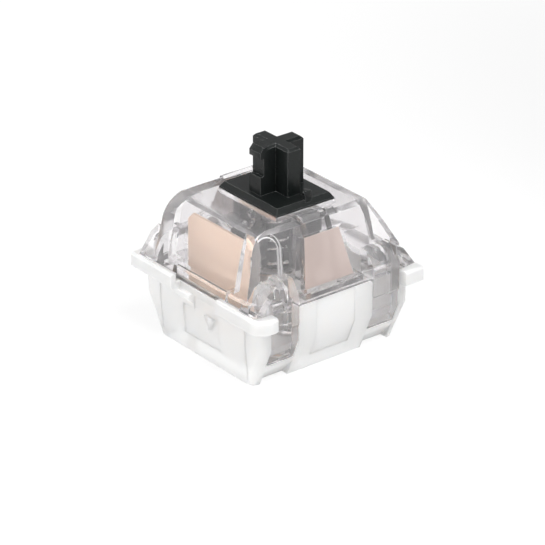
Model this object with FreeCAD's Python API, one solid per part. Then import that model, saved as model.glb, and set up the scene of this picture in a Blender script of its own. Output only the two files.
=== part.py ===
import FreeCAD, Part
import math
import os

# Mechanical keyboard switch of the linear kind: a clear cover clipped on a milky base, a black
# cross-topped stem on a coil spring, and a pair of copper contacts that the stem's legs hold apart.
# Millimetres. The origin is on the circuit board's face under the centre post, +Z is up,
# +Y is the side of the contacts, and the plate that holds the switch has its top at PLATE_TOP.

V = FreeCAD.Vector

# Running gap between the moving stem and the housing, and gap between pieces clipped together
RUN_GAP = 0.08
FIT_GAP = 0.05

# Bottom housing
PLATE_TOP = 5.0
FLANGE_SIDE = 15.6
FLANGE_THICKNESS = 1.2
FLANGE_CORNER_R = 0.25
FLANGE_NORTH_WEST_R = 1.15
FLANGE_EDGE = 0.15
FLANGE_GAP_HALF = 2.65
BODY_SIDE = 13.96
BASE_HALF_X = 5.6
BASE_HALF_Y = 6.7
TAPER_HEIGHT = 3.3
BODY_CORNER_R = 0.6
WALL = 0.85
FLOOR = 1.0
REBATE_DEPTH = 0.7
POST_R = 2.0
POST_LENGTH = 3.3
POST_CHAMFER = 0.5
TUBE_R = 1.7
TUBE_TOP = 5.9
POLE_ROOM = 0.5
LED_WINDOW_X = 4.4
LED_WINDOW_Y = 2.2
LED_WINDOW_CENTRE_Y = -4.7
CLIP_NUB_WIDTH = 1.8
CLIP_NUB_OFFSET = 2.0
CLIP_NUB_REACH = 0.35
CLIP_NUB_HEIGHT = 0.4

# Clip arms of the top housing and the windows of the bottom housing that take them
ARM_INNER_Y = 3.5
ARM_OUTER_Y = 5.95
ARM_BOTTOM = 1.75
ARM_THICKNESS = 1.2
ARM_PROUD = 0.07
ARM_STEP_Z = 4.6
ARM_STEP = 0.12
ARM_SHOULDER_Z = 8.1
ARM_SHOULDER_R = 0.35
ARM_SHOULDER_SET = 0.75
ARM_SHOULDER_DROP = 1.2
ARM_RIB_Y = 4.85
ARM_RIB_WIDTH = 0.4
ARM_RIB_PROUD = 0.14
ARM_RIB_RISE = 0.25
ARM_RIB_SET = 0.7
ARM_RIB_DROP = 0.2
BARB_REACH = 0.35
BARB_HEIGHT = 0.6
BARB_ROOT = 0.1
CATCH_HEIGHT = 0.5
PANEL_TOP = 6.05
PANEL_CORNER_R = 0.3

# Top housing
TOP_Z = 11.6
DECK_THICKNESS = 0.7
DECK_HALF_X = 4.75
HIP_HALF_X = 5.3
HIP_Z = 9.8
HIP_R = 0.4
FOOT_HALF_X = 5.6
FOOT_SETBACK = 0.55
SILL_Z = 7.0
SILL_MIDDLE_DROP = 0.4
SILL_MIDDLE_SETBACK = 0.4
SILL_MIDDLE_HALF_X = 3.15
NORTH_SHOULDER_Y = 6.05
NORTH_SHOULDER_R = 1.9
NORTH_WINDOW_TOP_Y = 5.6
NORTH_WINDOW_SILL_Y = 6.3
NORTH_WINDOW_R = 0.9
WINDOW_ARCH_R = 1.3
SOUTH_TOP_Y = 4.5
SOUTH_KNEE_Z = 7.4
SOUTH_WINDOW_TOP_Y = 4.75
SOUTH_WINDOW_SILL_Y = 5.9
FIN_INNER_X = 3.95
FIN_EDGE_R = 0.25
COVER_WALL = 0.5
CONTACT_ROOM = 0.1
LEDGE_TOP = 6.7
LEDGE_SETBACK = 0.23
LEDGE_HALF_Y = 2.75
LEDGE_SHELF = 0.15
BAY_TOP_SETBACK = 0.3
BAY_TOP_Z = 10.55
BAY_FACE_TOP_SETBACK = 0.08
BAY_FACE_TOP_Z = 10.3
BAY_FACE_TOP_HALF_Y = 1.6
BAY_FACE_FOOT_SETBACK = 0.8
BAY_FACE_FOOT_HALF_Y = 2.26
BAY_ROOT_TOP_SETBACK = 0.18
BAY_ROOT_TOP_Z = 10.15
BAY_ROOT_TOP_HALF_Y = 2.45
BAY_ROOT_FOOT_SETBACK = 0.1
OPENING_CORNER_R = 0.1
DECK_BEAD_R = 0.32
DECK_BEAD_HALF_Y = 1.5
CORNER_ROOF = 0.45
CORNER_ROOF_TOP = 8.2
CORNER_ROOF_KNEE_Y = 6.36
CORNER_ROOF_KNEE_Z = 7.8
CORNER_ROOF_OVERHANG = 0.25
CORNER_ROOF_LAP = 0.3
GUIDE_RIB = 0.5
GUIDE_RIB_BOTTOM = 6.7

# Stem
TRAVEL = 4.0
STEM_HALF_X = 3.4
STEM_HALF_Y = 2.7
STEM_TOP_Z = 12.1
STEM_BEVEL = 0.42
STEM_BEVEL_INSET = 0.28
STEM_UNDERSIDE = 10.9
STEM_CORNER_R = 0.05
STEM_LAP = 0.3
CROSS_RISE = 3.7
CROSS_SPAN_X = 4.1
CROSS_SPAN_Y = 4.0
CROSS_ARM_X = 1.17
CROSS_ARM_Y = 1.31
CROSS_CHAMFER = 0.18
CROSS_END_STEP = 0.32
CROSS_END_BEVEL = 0.35
CROSS_LIP = 0.9
CROSS_LIP_SLOPE = 0.1
CROSS_NOTCH = 1.36
NUB_WIDTH = 0.56
NUB_Y = -0.37
NUB_RISE = 0.7
NUB_HEAD = 0.37
NUB_FLARE = 0.24
POLE_R = 1.07
POLE_TIP = 5.0
POLE_CHAMFER = 0.3
RAIL_HALF_Y = 1.1
RAIL_THICKNESS = 0.75
RAIL_BOTTOM = 6.9
LUG_HALF_Y = 0.8
LUG_REACH = 0.6
LUG_ROOT = 0.2
LEG_ROOM = 0.18
LEG_WIDTH = 0.7
LEG_THICKNESS = 0.45
LEG_BOTTOM = 6.9
CAM_TIP_Y = 3.72
CAM_BOTTOM = 7.2
CAM_TIP_LOW = 7.75
CAM_TIP_HIGH = 8.05
CAM_TIP_R = 0.1
CAM_TOP = 8.9
BACK_WALL_HALF_X = 2.0
BACK_WALL_THICKNESS = 0.42
BACK_WALL_BOTTOM = 8.2

# Return spring
WIRE_R = 0.13
WIRE_SIDES = 6
COIL_R = 2.0
COIL_TURNS = 9
COIL_END_TURNS = 1
COIL_END_PITCH = 2.2
SPRING_END_GAP = 0.02

# Contacts
SHEET = 0.2
MOVING_PLATE_Y = 5.08
MOVING_PLATE_HALF_X = 3.7
MOVING_PLATE_TOP = 10.3
MOVING_PLATE_BOTTOM = 2.0
MOVING_PLATE_CHAMFER = 0.6
MOVING_TAIL_X = 2.54
FIXED_TAIL_X = -3.81
FIXED_TAIL_Y = 2.54
FIXED_PLATE_Y = 3.45
FIXED_PLATE_SHEET = 0.3
FIXED_PLATE_HALF_X = 0.72
FIXED_PLATE_TOP = 8.5
FIXED_PLATE_CORNER_R = 0.15
FIXED_FOOT_HEIGHT = 0.7
TAIL_WIDTH = 1.0
TAIL_LENGTH = 3.3
TAIL_TIP_WIDTH = 0.4
TAIL_TIP_LENGTH = 0.8
TAIL_SLOT_GAP = 0.06
SEAT_HEIGHT = 1.3
SEAT_MARGIN = 0.5
LEAF_Y = 4.3
LEAF_SHEET = 0.14
LEAF_HINGE_Z = 2.5
LEAF_ROLL_R = 0.22
LEAF_HALF_X = 2.2
LEAF_TOP = 9.3
LEAF_ARM_GAP = 0.25
LEAF_WAIST_Z = 4.6
LEAF_BUMP_Z = 7.9
LEAF_BUMP_RUN = 1.1
LEAF_BUMP_R = 0.15
TROUGH_GAP = 0.04
TROUGH_LIP = 0.45
CROSSPOINT_Z = 7.6
CROSSPOINT_LENGTH = 0.9
CROSSPOINT_WIDTH = 0.36
CROSSPOINT_HEIGHT = 0.14
CROSSPOINT_RIDGE_HALF = 0.08

# Heights and places that follow from the sizes above
FLANGE_TOP = PLATE_TOP + FLANGE_THICKNESS
REBATE_Z = FLANGE_TOP - REBATE_DEPTH
FOOT_Y = FLANGE_SIDE / 2 - FOOT_SETBACK
REBATE_HALF_Y = FOOT_Y + FIT_GAP
BODY_HALF = BODY_SIDE / 2
ARM_ROOT_X = FOOT_HALF_X - COVER_WALL
LEDGE_X = BODY_HALF - LEDGE_SETBACK
BAY_TOP_X = HIP_HALF_X - BAY_TOP_SETBACK
BAY_FACE_TOP_X = HIP_HALF_X - BAY_FACE_TOP_SETBACK
BAY_FACE_FOOT_X = BODY_HALF - BAY_FACE_FOOT_SETBACK
BAY_ROOT_TOP_X = HIP_HALF_X - BAY_ROOT_TOP_SETBACK
BAY_ROOT_FOOT_X = FOOT_HALF_X - BAY_ROOT_FOOT_SETBACK
CORNER_ROOF_FOOT_Y = FOOT_Y + CORNER_ROOF_OVERHANG
TUBE_BORE_FLOOR = POLE_TIP - TRAVEL - POLE_ROOM
DECK_UNDERSIDE = TOP_Z - DECK_THICKNESS
CROSS_TOP = STEM_TOP_Z + CROSS_RISE
NUB_TOP = STEM_TOP_Z + NUB_RISE
LEG_INNER_X = FIXED_PLATE_HALF_X + LEG_ROOM


def box(x0, x1, y0, y1, z0, z1):
    """Block between two opposite corners."""
    return Part.makeBox(x1 - x0, y1 - y0, z1 - z0, V(x0, y0, z0))


def mirrored(shape, normal):
    """Copy of a shape on the other side of the plane through the origin."""
    return shape.mirror(V(0, 0, 0), normal)


def with_mirror(shape, normal):
    """A shape and its mirror image."""
    return shape.fuse(mirrored(shape, normal))


def on_all_corners(shape):
    """Four copies of a shape, one for each corner of the switch."""
    return with_mirror(with_mirror(shape, V(1, 0, 0)), V(0, 1, 0))


def rounded_outline(corners, place):
    """Wire through (u, v) or (u, v, radius) corners, set in space by place(u, v)."""
    ends = []
    count = len(corners)
    for i, corner in enumerate(corners):
        here = V(corner[0], corner[1], 0)
        radius = corner[2] if len(corner) > 2 else 0
        if not radius:
            ends.append((here, None, here))
            continue
        before = (V(*corners[i - 1][:2], 0) - here).normalize()
        after = (V(*corners[(i + 1) % count][:2], 0) - here).normalize()
        half_angle = before.getAngle(after) / 2
        middle = (before + after).normalize()
        reach = radius / math.tan(half_angle)
        crown = here + middle * (radius / math.sin(half_angle) - radius)
        ends.append((here + before * reach, crown, here + after * reach))
    edges = []
    for i, (start, crown, end) in enumerate(ends):
        if crown is not None:
            points = [place(p.x, p.y) for p in (start, crown, end)]
            edges.append(Part.Arc(*points).toShape())
        following = ends[(i + 1) % count][0]
        if end.distanceToPoint(following) > 1e-6:
            edges.append(Part.LineSegment(place(end.x, end.y), place(following.x, following.y)).toShape())
    return Part.Wire(edges)


def prism(axis, corners, low, high):
    """Solid with the given profile, drawn across an axis and drawn out along it from low to high.

    Corners are (y, z) across "x", (x, z) across "y" and (x, y) across "z", each with a radius or not.
    """
    places = {
        "x": lambda u, v: V(low, u, v),
        "y": lambda u, v: V(u, low, v),
        "z": lambda u, v: V(u, v, low),
    }
    run = {"x": V(high - low, 0, 0), "y": V(0, high - low, 0), "z": V(0, 0, high - low)}
    return Part.Face(rounded_outline(corners, places[axis])).extrude(run[axis])


def rounded_square(side_x, side_y, radius, z):
    """Wire of a rectangle with round corners, level at z and centred on the Z axis."""
    x, y = side_x / 2, side_y / 2
    corners = [(x, y, radius), (-x, y, radius), (-x, -y, radius), (x, -y, radius)]
    return rounded_outline(corners, lambda u, v: V(u, v, z))


def rounded_block(side_x, side_y, radius, z0, z1):
    """Upright block with round corners."""
    return Part.Face(rounded_square(side_x, side_y, radius, z0)).extrude(V(0, 0, z1 - z0))


def body_half_at(z, base_half):
    """Half the width of the bottom housing's body at a height: tapered below TAPER_HEIGHT."""
    share = min(max(z / TAPER_HEIGHT, 0), 1)
    return base_half + (BODY_HALF - base_half) * share


def body_loft(inset, z_low, z_high):
    """The bottom housing's body, or its cavity where inset is the wall."""
    heights = [z_low, TAPER_HEIGHT, z_high]
    radius = max(BODY_CORNER_R - inset, 0.3)
    wires = []
    for z in heights:
        half_x = body_half_at(z, BASE_HALF_X) - inset
        half_y = body_half_at(z, BASE_HALF_Y) - inset
        wires.append(rounded_square(2 * half_x, 2 * half_y, radius, z))
    return Part.makeLoft(wires, True, True)


def edges_at(shape, z, tolerance=1e-4):
    """Edges of a shape that lie level at height z."""
    return [e for e in shape.Edges
            if abs(e.BoundBox.ZMin - z) < tolerance and abs(e.BoundBox.ZMax - z) < tolerance]


def flange():
    """Flange that rests on the plate, open at the clip arms and at the plate clips."""
    half = FLANGE_SIDE / 2
    plate = prism("z", [(half, half, FLANGE_CORNER_R), (-half, half, FLANGE_NORTH_WEST_R),
                        (-half, -half, FLANGE_CORNER_R), (half, -half, FLANGE_CORNER_R)],
                  PLATE_TOP, FLANGE_TOP)
    plate = plate.makeChamfer(FLANGE_EDGE, edges_at(plate, FLANGE_TOP) + edges_at(plate, PLATE_TOP))
    side = half + 1
    arm_gap_y = ARM_OUTER_Y - FIT_GAP
    side_gap = box(BODY_HALF, side, -arm_gap_y, arm_gap_y, PLATE_TOP - 1, FLANGE_TOP + 1)
    clip_gap = box(-FLANGE_GAP_HALF, FLANGE_GAP_HALF, BODY_HALF, side, PLATE_TOP - 1, FLANGE_TOP + 1)
    plate = plate.cut(with_mirror(side_gap, V(1, 0, 0)))
    return plate.cut(with_mirror(clip_gap, V(0, 1, 0)))


def arm_windows():
    """Cuts through the west and east walls for the clip arms, open at the top."""
    inner = ARM_INNER_Y - FIT_GAP
    outer = ARM_OUTER_Y + FIT_GAP
    arm_face_x = BODY_HALF - ARM_THICKNESS - FIT_GAP
    window = box(arm_face_x - BARB_REACH - FIT_GAP, BODY_HALF + 1, inner, outer,
                 ARM_BOTTOM - FIT_GAP, FLANGE_TOP + 1)
    return on_all_corners(window)


def catch_bars():
    """Bars across the arm windows that the arms' barbs hook under."""
    z0 = ARM_BOTTOM + BARB_HEIGHT + FIT_GAP
    arm_face_x = BODY_HALF - ARM_THICKNESS - FIT_GAP
    bar = box(arm_face_x - BARB_REACH, BODY_HALF - WALL / 2, ARM_INNER_Y - WALL, ARM_OUTER_Y + WALL / 2,
              z0, z0 + CATCH_HEIGHT)
    room_for_arm = box(arm_face_x, BODY_HALF, ARM_INNER_Y - FIT_GAP, ARM_OUTER_Y + FIT_GAP, 0, FLANGE_TOP)
    return on_all_corners(bar.cut(room_for_arm))


def side_panels():
    """Middle of the west and east walls, standing up between the arms, with round upper corners."""
    half = ARM_INNER_Y - FIT_GAP
    corners = [(-half, TAPER_HEIGHT), (half, TAPER_HEIGHT), (half, PANEL_TOP, PANEL_CORNER_R),
               (-half, PANEL_TOP, PANEL_CORNER_R)]
    return with_mirror(prism("x", corners, BODY_HALF - WALL, BODY_HALF), V(1, 0, 0))


def clip_nubs():
    """Wedges under the flange on the north and south walls that grip the edge of the plate cut-out."""
    root = BODY_HALF - WALL / 2
    tip = BODY_HALF + CLIP_NUB_REACH
    low = PLATE_TOP - CLIP_NUB_HEIGHT
    corners = [(root, PLATE_TOP), (tip, PLATE_TOP), (tip, low), (BODY_HALF, low - CLIP_NUB_REACH),
               (root, low - CLIP_NUB_REACH)]
    middle = CLIP_NUB_OFFSET
    nub = prism("x", corners, middle - CLIP_NUB_WIDTH / 2, middle + CLIP_NUB_WIDTH / 2)
    turned = nub.copy()
    turned.rotate(V(0, 0, 0), V(0, 0, 1), 180)
    return nub.fuse(turned)


def contact_seats():
    """Raised blocks on the floor that the contact sheets stand in."""
    margin = SEAT_MARGIN
    moving = box(-MOVING_PLATE_HALF_X - margin, MOVING_PLATE_HALF_X + margin,
                 MOVING_PLATE_Y - margin, MOVING_PLATE_Y + margin, FLOOR, FLOOR + SEAT_HEIGHT)
    fixed = box(FIXED_TAIL_X - TAIL_WIDTH / 2 - margin, FIXED_PLATE_HALF_X + margin,
                FIXED_TAIL_Y - margin, FIXED_PLATE_Y + margin, FLOOR, FLOOR + FIXED_FOOT_HEIGHT)
    clear_of_coil = Part.makeCylinder(COIL_R + WIRE_R + RUN_GAP, SEAT_HEIGHT + 1, V(0, 0, FLOOR))
    return moving.fuse(fixed).cut(clear_of_coil)


def contact_slots():
    """Room in the floor and the seats for the contact sheets and their tails."""
    gap = TAIL_SLOT_GAP
    return grown(moving_terminal_outline(), gap).fuse(grown(fixed_terminal_outline(), gap))


def grown(boxes, gap):
    """Blocks of a list, each larger by a gap on every side, as one shape."""
    blocks = [box(x0 - gap, x1 + gap, y0 - gap, y1 + gap, z0, z1 + gap) for x0, x1, y0, y1, z0, z1 in boxes]
    return blocks[0].multiFuse(blocks[1:])


def moving_terminal_outline():
    """Blocks that the moving contact's plate and tail take up below the leaf's trough."""
    y0, y1 = MOVING_PLATE_Y - SHEET / 2, MOVING_PLATE_Y + SHEET / 2
    half = TAIL_WIDTH / 2
    trough_y = LEAF_Y - LEAF_ROLL_R - TROUGH_GAP - SHEET
    return [
        (-MOVING_PLATE_HALF_X, MOVING_PLATE_HALF_X, y0, y1, MOVING_PLATE_BOTTOM, FLOOR + SEAT_HEIGHT + 1),
        (-LEAF_HALF_X, LEAF_HALF_X, trough_y, y1, MOVING_PLATE_BOTTOM, FLOOR + SEAT_HEIGHT + 1),
        (MOVING_TAIL_X - half, MOVING_TAIL_X + half, y0, y1, -TAIL_LENGTH - 1, FLOOR + SEAT_HEIGHT),
    ]


def fixed_terminal_outline():
    """Blocks that the fixed contact's foot and tail take up in the floor."""
    y0, y1 = FIXED_PLATE_Y - FIXED_PLATE_SHEET / 2, FIXED_PLATE_Y + FIXED_PLATE_SHEET / 2
    half = TAIL_WIDTH / 2
    tail_y = FIXED_TAIL_Y
    sheet = FIXED_PLATE_SHEET
    return [
        (FIXED_TAIL_X - half, FIXED_PLATE_HALF_X, y0, y1, FLOOR, FLOOR + FIXED_FOOT_HEIGHT + 1),
        (FIXED_TAIL_X - half, FIXED_TAIL_X + half, tail_y - sheet / 2, y1,
         FLOOR, FLOOR + FIXED_FOOT_HEIGHT + 1),
        (FIXED_TAIL_X - half, FIXED_TAIL_X + half, tail_y - sheet / 2, tail_y + sheet / 2,
         -TAIL_LENGTH - 1, FLOOR + 1),
    ]


def bottom_housing():
    """Milky base: tapered tub with the flange, clip windows, spring tube, contact seats and centre post."""
    tub = body_loft(0, 0, FLANGE_TOP).fuse(flange())
    cavity = body_loft(WALL, FLOOR, FLANGE_TOP + 1)
    rebate = rounded_block(BODY_SIDE, 2 * REBATE_HALF_Y, BODY_CORNER_R, REBATE_Z, FLANGE_TOP + 1)
    tub = tub.cut(cavity.fuse(rebate).fuse(arm_windows()))
    tub = tub.fuse(side_panels()).fuse(catch_bars()).fuse(clip_nubs())
    tub = tub.fuse(contact_seats())
    tub = tub.fuse(Part.makeCylinder(TUBE_R, TUBE_TOP, V(0, 0, 0)))
    tub = tub.fuse(centre_post())
    bore = Part.makeCylinder(POLE_R + RUN_GAP, TUBE_TOP, V(0, 0, TUBE_BORE_FLOOR))
    led_half_x, led_half_y = LED_WINDOW_X / 2, LED_WINDOW_Y / 2
    led = box(-led_half_x, led_half_x, LED_WINDOW_CENTRE_Y - led_half_y, LED_WINDOW_CENTRE_Y + led_half_y,
              -1, FLOOR + 1)
    return tub.cut(bore.fuse(led).fuse(contact_slots())).removeSplitter()


def centre_post():
    """Round post that centres the switch in the board."""
    straight = Part.makeCylinder(POST_R, POST_LENGTH - POST_CHAMFER, V(0, 0, POST_CHAMFER - POST_LENGTH))
    tip = Part.makeCone(POST_R - POST_CHAMFER, POST_R, POST_CHAMFER, V(0, 0, -POST_LENGTH))
    return straight.fuse(tip)


def cover_hull():
    """Outside of the clear cover, without its bays and arms."""
    across = prism("x", [(-FOOT_Y, REBATE_Z), (FOOT_Y, REBATE_Z), (FOOT_Y, FLANGE_TOP),
                         (NORTH_SHOULDER_Y, TOP_Z, NORTH_SHOULDER_R), (-SOUTH_TOP_Y, TOP_Z, FIN_EDGE_R),
                         (-FOOT_Y, SOUTH_KNEE_Z)], -FOOT_HALF_X, FOOT_HALF_X)
    along = prism("y", [(-FOOT_HALF_X, REBATE_Z), (FOOT_HALF_X, REBATE_Z), (HIP_HALF_X, HIP_Z, HIP_R),
                        (DECK_HALF_X, TOP_Z, FIN_EDGE_R), (-DECK_HALF_X, TOP_Z, FIN_EDGE_R),
                        (-HIP_HALF_X, HIP_Z, HIP_R)], -FOOT_Y, FOOT_Y)
    return across.common(along)


def beyond(first, second, third):
    """Large block on the far side of the plane through three points, named anticlockwise seen from there."""
    reach = FLANGE_SIDE
    outward = (second - first).cross(third - first).normalize()
    along = (second - first).normalize() * reach
    across = outward.cross(along)
    corners = [first + along + across, first - along + across, first - along - across, first + along - across]
    return Part.Face(Part.makePolygon(corners + corners[:1])).extrude(outward * reach)


def bay_half():
    """North half of the east bay: flat leaning face, bevelled top edge, and two facets back to the hull."""
    root = HIP_HALF_X - COVER_WALL
    sill = LEDGE_TOP - LEDGE_SHELF
    face_top = V(BAY_FACE_TOP_X, BAY_FACE_TOP_HALF_Y, BAY_FACE_TOP_Z)
    face_foot = V(BAY_FACE_FOOT_X, BAY_FACE_FOOT_HALF_Y, LEDGE_TOP)
    root_top = V(BAY_ROOT_TOP_X, BAY_ROOT_TOP_HALF_Y, BAY_ROOT_TOP_Z)
    root_foot = V(BAY_ROOT_FOOT_X, LEDGE_HALF_Y, LEDGE_TOP)
    block = prism("y", [(root, sill), (BAY_FACE_FOOT_X, sill), (BAY_FACE_FOOT_X, LEDGE_TOP),
                        (BAY_FACE_TOP_X, BAY_FACE_TOP_Z), (BAY_TOP_X, BAY_TOP_Z), (root, BAY_TOP_Z)],
                  0, LEDGE_HALF_Y)
    return block.cut(beyond(face_top, face_foot, root_top)).cut(beyond(root_foot, root_top, face_foot))


def window_arch(y0, y1):
    """Room between the fins, with round upper corners."""
    corners = [(-FIN_INNER_X, REBATE_Z - 1), (FIN_INNER_X, REBATE_Z - 1), (FIN_INNER_X, TOP_Z, WINDOW_ARCH_R),
               (-FIN_INNER_X, TOP_Z, WINDOW_ARCH_R)]
    return prism("y", corners, y0, y1)


def north_window():
    """Recess between the two north fins, down to the sill."""
    far = FOOT_Y + 1
    corners = [(NORTH_WINDOW_SILL_Y, SILL_Z), (NORTH_WINDOW_TOP_Y, TOP_Z, NORTH_WINDOW_R), (0, TOP_Z),
               (0, TOP_Z + 1), (far, TOP_Z + 1), (far, SILL_Z)]
    recess = prism("x", corners, -FIN_INNER_X, FIN_INNER_X).common(window_arch(0, far))
    half = SILL_MIDDLE_HALF_X
    setback = box(-half, half, FOOT_Y - SILL_MIDDLE_SETBACK, far, REBATE_Z - 1, SILL_Z + 1)
    drop = box(-half, half, NORTH_WINDOW_SILL_Y, far, SILL_Z - SILL_MIDDLE_DROP, SILL_Z + 1)
    return recess.fuse(setback).fuse(drop)


def south_window():
    """Recess between the two south fins, over the lamp side."""
    far = FOOT_Y + 1
    corners = [(-SOUTH_WINDOW_SILL_Y, SILL_Z), (-SOUTH_WINDOW_TOP_Y, TOP_Z + 1), (-far, TOP_Z + 1),
               (-far, SILL_Z)]
    return prism("x", corners, -FIN_INNER_X, FIN_INNER_X).common(window_arch(-far, 0))


def cover_cavity():
    """Room inside the cover for the stem and the contacts."""
    wall = COVER_WALL
    under = REBATE_Z - 1
    sill_in = SILL_Z - SILL_MIDDLE_DROP - wall
    north = FOOT_Y - SILL_MIDDLE_SETBACK - wall
    across = prism("x", [(-FOOT_Y + wall, under), (north, under), (north, sill_in),
                         (NORTH_WINDOW_SILL_Y - wall, sill_in),
                         (NORTH_WINDOW_TOP_Y - wall + CONTACT_ROOM, DECK_UNDERSIDE),
                         (-SOUTH_WINDOW_TOP_Y + wall, DECK_UNDERSIDE), (-SOUTH_WINDOW_SILL_Y + wall, sill_in),
                         (-FOOT_Y + wall, sill_in)], -FOOT_HALF_X, FOOT_HALF_X)
    along = prism("y", [(-FOOT_HALF_X + wall, under), (FOOT_HALF_X - wall, under), (HIP_HALF_X - wall, HIP_Z),
                        (DECK_HALF_X - wall, DECK_UNDERSIDE), (-DECK_HALF_X + wall, DECK_UNDERSIDE),
                        (-HIP_HALF_X + wall, HIP_Z)], -FOOT_Y, FOOT_Y)
    bay_foot = BAY_FACE_FOOT_X - wall
    bay = prism("y", [(-bay_foot, under), (bay_foot, under), (bay_foot, LEDGE_TOP - wall),
                      (DECK_HALF_X - wall, DECK_UNDERSIDE), (-DECK_HALF_X + wall, DECK_UNDERSIDE),
                      (-bay_foot, LEDGE_TOP - wall)], -BAY_FACE_TOP_HALF_Y, BAY_FACE_TOP_HALF_Y)
    return across.common(along).fuse(bay)


def guide_ribs():
    """Upright ribs inside the cover, two on each side, that the stem's lugs run between."""
    inner_x = STEM_HALF_X + RUN_GAP
    y0 = LUG_HALF_Y + RUN_GAP
    rib = prism("y", [(inner_x, GUIDE_RIB_BOTTOM), (BAY_FACE_FOOT_X - COVER_WALL, GUIDE_RIB_BOTTOM),
                      (DECK_HALF_X - COVER_WALL / 2, DECK_UNDERSIDE), (inner_x, DECK_UNDERSIDE)],
                y0, y0 + GUIDE_RIB)
    return on_all_corners(rib)


def clip_arm():
    """The north-east clip arm: shoulder, leg, rib and barb."""
    outer = BODY_HALF + ARM_PROUD
    inner = BODY_HALF - ARM_THICKNESS
    low_outer = body_half_at(ARM_BOTTOM, BASE_HALF_X) - ARM_STEP / 2
    stepped = outer - ARM_STEP
    root = ARM_ROOT_X
    leg = prism("y", [(root, FLANGE_TOP), (inner, FLANGE_TOP), (inner, ARM_BOTTOM), (low_outer, ARM_BOTTOM),
                      (stepped, TAPER_HEIGHT), (stepped, ARM_STEP_Z), (outer, ARM_STEP_Z),
                      (outer, ARM_SHOULDER_Z - ARM_SHOULDER_DROP, ARM_SHOULDER_R),
                      (outer - ARM_SHOULDER_SET, ARM_SHOULDER_Z, ARM_SHOULDER_R), (root, ARM_SHOULDER_Z)],
                ARM_INNER_Y, ARM_OUTER_Y)
    ridge = ARM_SHOULDER_Z + ARM_RIB_RISE
    proud = outer + ARM_RIB_PROUD
    half = ARM_RIB_WIDTH / 2
    rib = prism("y", [(root, FLANGE_TOP), (inner, FLANGE_TOP), (inner, ARM_STEP_Z), (proud, ARM_STEP_Z),
                      (proud, ARM_SHOULDER_Z - ARM_RIB_DROP, ARM_SHOULDER_R),
                      (outer - ARM_RIB_SET, ridge, ARM_SHOULDER_R), (root, ridge)],
                ARM_RIB_Y - half, ARM_RIB_Y + half)
    barb_top = ARM_BOTTOM + BARB_HEIGHT
    barb = prism("y", [(inner + BARB_ROOT, ARM_BOTTOM), (inner, ARM_BOTTOM), (inner - BARB_REACH, barb_top),
                       (inner + BARB_ROOT, barb_top)], ARM_INNER_Y, ARM_OUTER_Y)
    return leg.fuse(rib).fuse(barb)


def corner_roof():
    """Roof over the north-east corner pocket, from the arm over a knee down into the rebate."""
    root = ARM_ROOT_X
    seat = FLANGE_TOP + FIT_GAP
    low = FLANGE_TOP - REBATE_DEPTH / 2
    lap_y = ARM_OUTER_Y - CORNER_ROOF_LAP
    inner_y = FOOT_Y - CORNER_ROOF
    knee_y, knee_z = CORNER_ROOF_KNEE_Y, CORNER_ROOF_KNEE_Z
    underside = knee_z - CORNER_ROOF
    roof = prism("x", [(lap_y, CORNER_ROOF_TOP), (knee_y, knee_z), (CORNER_ROOF_FOOT_Y, seat),
                       (inner_y, seat), (knee_y - CORNER_ROOF, underside), (lap_y, underside)],
                 root, BODY_HALF)
    foot = box(root, BODY_HALF, inner_y, FOOT_Y, low, seat)
    in_rebate = rounded_block(BODY_SIDE - 2 * FIT_GAP, 2 * FOOT_Y, BODY_CORNER_R, low - 1, seat + 1)
    return roof.fuse(foot.common(in_rebate))


def deck_beads():
    """Rounded bead along the middle of the west and east edges of the deck."""
    z = TOP_Z - DECK_BEAD_R / 2
    start = V(DECK_HALF_X - DECK_BEAD_R / 2, -DECK_BEAD_HALF_Y, z)
    bead = Part.makeCylinder(DECK_BEAD_R, 2 * DECK_BEAD_HALF_Y, start, V(0, 1, 0))
    return with_mirror(bead, V(1, 0, 0))


def ledges():
    """Foot of each bay, and the low shelf under it that lies on the base's wall between the arms."""
    root = ARM_ROOT_X
    low = PANEL_TOP + FIT_GAP / 2
    foot = box(root, LEDGE_X, -LEDGE_HALF_Y, LEDGE_HALF_Y, low, LEDGE_TOP)
    shelf = box(root, BODY_HALF - FIT_GAP / 2, -ARM_INNER_Y, ARM_INNER_Y, low, low + LEDGE_SHELF)
    return with_mirror(foot.fuse(shelf), V(1, 0, 0))


def top_housing():
    """Clear cover in one moulding."""
    hull = cover_hull().fuse(ledges()).fuse(deck_beads()).fuse(on_all_corners(bay_half()))
    hull = hull.cut(north_window()).cut(south_window())
    hull = hull.fuse(on_all_corners(clip_arm())).fuse(on_all_corners(corner_roof()))
    hull = hull.cut(cover_cavity())
    hull = hull.fuse(guide_ribs())
    gap = RUN_GAP
    opening = rounded_block(2 * (STEM_HALF_X + gap), 2 * (STEM_HALF_Y + gap), OPENING_CORNER_R,
                            DECK_UNDERSIDE - 1, TOP_Z + 1)
    return hull.cut(opening).removeSplitter()


def cross_arm(x0, x1, y0, y1):
    """Upright bar of the cross with a chamfer round its top."""
    low = CROSS_TOP - CROSS_CHAMFER
    c = CROSS_CHAMFER
    straight = box(x0, x1, y0, y1, STEM_UNDERSIDE + STEM_LAP, low)
    around = rounded_outline([(x0, y0), (x1, y0), (x1, y1), (x0, y1)], lambda u, v: V(u, v, low))
    crown = rounded_outline([(x0 + c, y0 + c), (x1 - c, y0 + c), (x1 - c, y1 - c), (x0 + c, y1 - c)],
                            lambda u, v: V(u, v, CROSS_TOP))
    return straight.fuse(Part.makeLoft([around, crown], True, True))


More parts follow.
